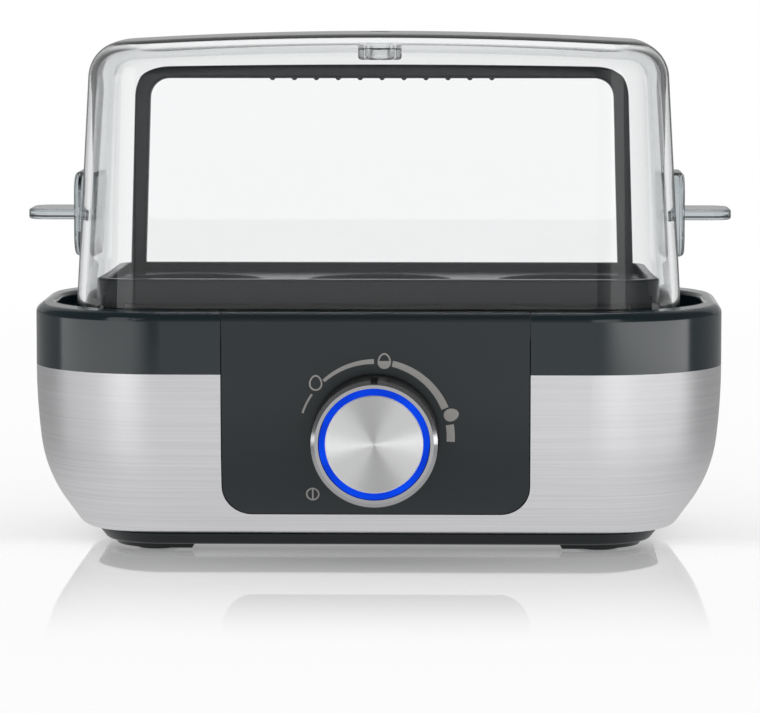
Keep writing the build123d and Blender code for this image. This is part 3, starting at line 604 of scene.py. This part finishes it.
def roundMiddle(point, out, inset, crownMid):
    # middle of the ball that rounds the wall into the crown, settled until it touches both
    ballRadius = lidLook["round"] - inset
    reach = lidLook["crown"] - ballRadius
    rise = lidLook["firstRise"] * (lidHigh.z - lidLow.z)
    for settle in range(lidLook["settleSteps"]):
        middle = point - out * (inset + rise * math.tan(lidSlope) + ballRadius / math.cos(lidSlope))
        rise = crownMid + math.sqrt(reach * reach - middle.length_squared) - lidLow.z
    return Vector((*middle, lidLow.z + rise))


def lidColumn(point, out, inset, hole):
    # one column of points from the foot, up the wall, over the round and in to the hole
    crownMid = lidHigh.z - inset - lidLook["crown"]
    ball = roundMiddle(point, out, inset, crownMid)
    ballRadius = lidLook["round"] - inset
    wallOut = Vector((*(out * math.cos(lidSlope)), math.sin(lidSlope)))
    crownOut = (ball - Vector((0, 0, crownMid))).normalized()
    foot = lidLow.z + lidLook["footRound"]
    wallTop = (ball + wallOut * ballRadius).z
    column = []
    for step in range(lidLook["wallSteps"]):
        height = foot + (wallTop - foot) * step / lidLook["wallSteps"]
        flat = point - out * (inset + (height - lidLow.z) * math.tan(lidSlope))
        column.append(Vector((*flat, height)))
    for step in range(lidLook["roundSteps"] + 1):
        column.append(ball + wallOut.slerp(crownOut, step / lidLook["roundSteps"]) * ballRadius)
    edge = column[-1].xy
    goal = edge.normalized() * hole
    for step in range(1, lidLook["crownSteps"] + 1):
        flat = edge.lerp(goal, step / lidLook["crownSteps"])
        height = crownMid + math.sqrt(lidLook["crown"] ** 2 - flat.length_squared)
        column.append(Vector((*flat, height)))
    return column


def lidRings(outline, inset, hole):
    return list(zip(*[lidColumn(point, out, inset, hole) for point, out in outline]))


def bossRings(turns):
    # the vent's lower end and the boss's rounded edge
    end, edge = lidHigh.z - lidLook["wall"] - lidLook["bossDrop"], lidLook["bossRound"]
    rows = [(lidLook["vent"], end)]
    for step in range(lidLook["bossSteps"] + 1):
        lean = math.pi / 2 * step / lidLook["bossSteps"]
        rows.append((lidLook["boss"] - edge * (1 - math.sin(lean)), end + edge * (1 - math.cos(lean))))
    return [[Vector((*(turn * reach), height)) for turn in turns] for reach, height in rows]


def makeLidShell():
    outline = lidOutline()
    outer = lidRings(outline, 0, lidLook["vent"])
    inner = lidRings(outline, lidLook["wall"], lidLook["boss"])
    boss = bossRings([point.xy.normalized() for point in outer[-1]])
    foot = [[Vector((*(point - out * inset), lidLow.z)) for point, out in outline]
            for inset in (lidLook["wall"] - lidLook["footRound"], lidLook["footRound"])]
    mesh = bmesh.new()
    rows = [[mesh.verts.new((point + Vector((*lidMid.xy, 0))) * mm) for point in ring]
            for ring in outer + boss + inner[::-1] + foot]
    for first, after in zip(rows, rows[1:] + rows[:1]):
        for step in range(len(first)):
            mesh.faces.new((first[step - 1], first[step], after[step], after[step - 1]))
    bmesh.ops.recalc_face_normals(mesh, faces=mesh.faces)
    for face in mesh.faces:
        face.smooth = True
    shell = addPiece("lidShell", mesh, "clearPlastic")
    shell.data.set_sharp_from_angle(angle=math.radians(lidLook["sharpAngle"]))
    return shell


lidShell = makeLidShell()
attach(lidShell, "lid")
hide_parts("lid")
print("lid shell:", len(lidShell.data.polygons), "faces")

# studio: floor, world, cards and camera, in metres


def flatPiece(name, corners):
    # a quad with an empty finish of its own
    mesh = bpy.data.meshes.new(name)
    mesh.from_pydata(corners, [], [(0, 1, 2, 3)])
    piece = bpy.data.objects.new(name, mesh)
    bpy.context.scene.collection.objects.link(piece)
    finish, tree, shader = newFinish(name)
    tree.nodes.remove(shader)
    mesh.materials.append(finish)
    return piece, tree, tree.nodes["Material Output"].inputs["Surface"]


def lightRays(tree):
    # masks of the rays from the camera, through clear plastic, and off a mirror
    path = tree.nodes.new("ShaderNodeLightPath").outputs
    refracted = path["Is Transmission Ray"]
    mirrored = number(tree, "MAXIMUM", number(tree, "SUBTRACT", path["Is Glossy Ray"], refracted), 0)
    return path["Is Camera Ray"], refracted, mirrored


floorLook = {                                      # each pair is where a fade starts and ends
    "size": 40.0, "white": 0.97, "plain": (0.35, 0.9), "shadowLift": 0.5,
    "mirrorMost": 0.60, "mirrorRoughness": 0.03,   # the polish fades out ahead, behind and to the sides
    "mirrorAhead": (-0.19, -0.03), "mirrorBack": (0.0, -0.03), "mirrorSide": (0.125, 0.10),
    "paleMost": 1.0, "paleClose": 0.70, "paleLeast": 0.38,  # how bright the floor is in reflections
    "paleFront": (-0.10, -0.28), "paleBreadth": (0.60, 0.25), "paleNarrow": (0.20, 0.07),
}


def mirrorShare(tree, seen, ahead, aside):
    share = number(tree, "MULTIPLY", seen, floorLook["mirrorMost"])
    for place, fade in ((ahead, "mirrorAhead"), (ahead, "mirrorBack"), (aside, "mirrorSide")):
        share = number(tree, "MULTIPLY", share, smoothRange(tree, place, floorLook[fade]))
    return share


def paleStrength(tree, ahead, aside):
    close = number(tree, "MULTIPLY", smoothRange(tree, aside, floorLook["paleNarrow"]),
                   floorLook["paleClose"] - floorLook["paleLeast"])
    level = number(tree, "ADD", close, floorLook["paleLeast"])
    front = number(tree, "MULTIPLY", smoothRange(tree, ahead, floorLook["paleFront"]),
                   smoothRange(tree, aside, floorLook["paleBreadth"]))
    gain = number(tree, "MULTIPLY", front, number(tree, "SUBTRACT", floorLook["paleMost"], level))
    return number(tree, "ADD", level, gain)


def makeFloor():
    half = floorLook["size"] / 2
    floor, tree, surface = flatPiece("studioFloor", [(-half, -half, 0), (half, -half, 0), (half, half, 0),
                                                     (-half, half, 0)])
    place = objectPlace(tree)
    split = splitPlace(tree, place)
    ahead, aside = split["Y"], number(tree, "ABSOLUTE", split["X"])
    white = tree.nodes.new("ShaderNodeBsdfDiffuse")
    white.inputs["Color"].default_value = (*[floorLook["white"]] * 3, 1)
    mirror = tree.nodes.new("ShaderNodeBsdfGlossy")
    mirror.inputs["Color"].default_value = (1, 1, 1, 1)
    mirror.inputs["Roughness"].default_value = floorLook["mirrorRoughness"]
    plain = tree.nodes.new("ShaderNodeEmission")
    pale = tree.nodes.new("ShaderNodeEmission")
    tree.links.new(paleStrength(tree, ahead, aside), pale.inputs["Strength"])
    camera, refracted, mirrored = lightRays(tree)
    seen = number(tree, "MAXIMUM", camera, refracted)
    far = smoothRange(tree, vectorLength(tree, place), floorLook["plain"])
    lift = number(tree, "MULTIPLY", number(tree, "MAXIMUM", far, floorLook["shadowLift"]), seen)
    shaded = mixShaders(tree, lift, white.outputs[0], plain.outputs[0])
    polished = mixShaders(tree, mirrorShare(tree, seen, ahead, aside), shaded, mirror.outputs[0])
    tree.links.new(mixShaders(tree, mirrored, polished, pale.outputs[0]), surface)


skyLook = {                                        # side and behind spans in degrees from straight ahead
    "even": 1.0, "behind": 1.0, "behindSpan": (150, 172), "horizon": 0.55, "sideHorizon": 0.18,
    "sideSpan": (22, 60), "overhead": 0.14, "overheadSpan": (0.05, 0.45),
}


def mirroredSky(tree):
    # what glossy faces see: dark in front and overhead, white behind
    split = splitPlace(tree, tree.nodes.new("ShaderNodeTexCoord").outputs["Generated"])
    side = number(tree, "ABSOLUTE", split["X"])
    turn = number(tree, "ARCTAN2", side, number(tree, "MULTIPLY", split["Y"], -1))
    back, dim = [smoothRange(tree, turn, [math.radians(angle) for angle in skyLook[span]])
                 for span in ("behindSpan", "sideSpan")]
    drop = number(tree, "MULTIPLY", dim, skyLook["sideHorizon"] - skyLook["horizon"])
    level = number(tree, "ADD", drop, skyLook["horizon"])
    high = smoothRange(tree, split["Z"], skyLook["overheadSpan"])
    fall = number(tree, "MULTIPLY", high, number(tree, "SUBTRACT", skyLook["overhead"], level))
    front = number(tree, "ADD", fall, level)
    gain = number(tree, "MULTIPLY", back, number(tree, "SUBTRACT", skyLook["behind"], front))
    return number(tree, "ADD", front, gain)


def makeWorld():
    # even light for the object, white for the camera
    world = bpy.data.worlds.new("studioWorld")
    bpy.context.scene.world = world
    world.use_nodes = True
    tree = world.node_tree
    even = tree.nodes["Background"]
    white = tree.nodes.new("ShaderNodeBackground")
    studio = tree.nodes.new("ShaderNodeBackground")
    for layer in (even, white, studio):
        layer.inputs["Color"].default_value = (1, 1, 1, 1)
    even.inputs["Strength"].default_value = skyLook["even"]
    tree.links.new(mirroredSky(tree), studio.inputs["Strength"])
    camera, refracted, mirrored = lightRays(tree)
    bent = mixShaders(tree, number(tree, "MAXIMUM", mirrored, refracted), even.outputs[0], studio.outputs[0])
    result = mixShaders(tree, camera, bent, white.outputs[0])
    tree.links.new(result, tree.nodes["World Output"].inputs["Surface"])


def standingCard(name, look):
    # an upright card that only reflections show
    (x0, y0), (x1, y1), (low, high) = look["from"], look["to"], look["rise"]
    card, tree, surface = flatPiece(name, [(x0, y0, low), (x1, y1, low), (x1, y1, high), (x0, y0, high)])
    for label in ("camera", "diffuse", "transmission", "volume_scatter", "shadow"):
        setattr(card, "visible_" + label, False)
    return card, tree, surface


low, tall = (0, 0.045), (0.07, 0.6)                # lower and upper edges of the boxes
softBoxes = {
    "lowBoxLeft": {"from": (-0.145, -0.62), "to": (-0.478, 0.06), "rise": low, "glow": 2.3, "fade": 0.25},
    "lowBoxRight": {"from": (0.16, -0.95), "to": (0.49, 0.0), "rise": low, "glow": 4.2, "fade": 0.45},
    "tallBoxLeft": {"from": (-0.34, -0.82), "to": (-0.62, -0.50), "rise": tall, "glow": 1.7, "fade": 0.08},
    "tallBoxRight": {"from": (0.10, -1.10), "to": (0.44, -0.78), "rise": tall, "glow": 1.7, "fade": 0.08},
}


def makeSoftBoxes():
    # bright cards beside and before the object, fading towards the camera
    for name, look in softBoxes.items():
        card, tree, surface = standingCard(name, look)
        lamp = tree.nodes.new("ShaderNodeEmission")
        start = look["from"][1]
        grow = smoothRange(tree, splitPlace(tree, objectPlace(tree))["Y"], (start, start + look["fade"]))
        tree.links.new(number(tree, "MULTIPLY", grow, look["glow"]), lamp.inputs["Strength"])
        tree.links.new(lamp.outputs[0], surface)


backLook = {"from": (-0.40, 0.30), "to": (0.40, 0.30), "rise": (0.085, 0.60), "tone": 0.42}


def makeBackCard():
    # grey card behind the lid, above what the floor mirrors; seen through the lid, the studio stays white
    card, tree, surface = standingCard("backCard", backLook)
    grey = tree.nodes.new("ShaderNodeEmission")
    grey.inputs["Strength"].default_value = backLook["tone"]
    clear = tree.nodes.new("ShaderNodeBsdfTransparent")
    mirrored = lightRays(tree)[2]
    tree.links.new(mixShaders(tree, mirrored, clear.outputs[0], grey.outputs[0]), surface)


shot = {"at": (0.02708, -1.17042, 0.16029), "yaw": 0.0230, "pitch": 0.0943,  # radians
        "focalPixels": 4285.9, "frameWidth": 760, "sensor": 36.0, "clipEnd": 100}


def makeCamera():
    lens = bpy.data.cameras.new("photoCamera")
    lens.sensor_fit = "HORIZONTAL"
    lens.sensor_width = shot["sensor"]
    lens.lens = shot["focalPixels"] / shot["frameWidth"] * shot["sensor"]
    lens.clip_end = shot["clipEnd"]
    camera = bpy.data.objects.new("photoCamera", lens)
    camera.location = shot["at"]
    camera.rotation_euler = (math.pi / 2 - shot["pitch"], 0, shot["yaw"])
    bpy.context.scene.collection.objects.link(camera)
    bpy.context.scene.camera = camera


makeFloor()
makeWorld()
makeSoftBoxes()
makeBackCard()
makeCamera()
bpy.context.scene.view_settings.view_transform = "Standard"
print("studio set")
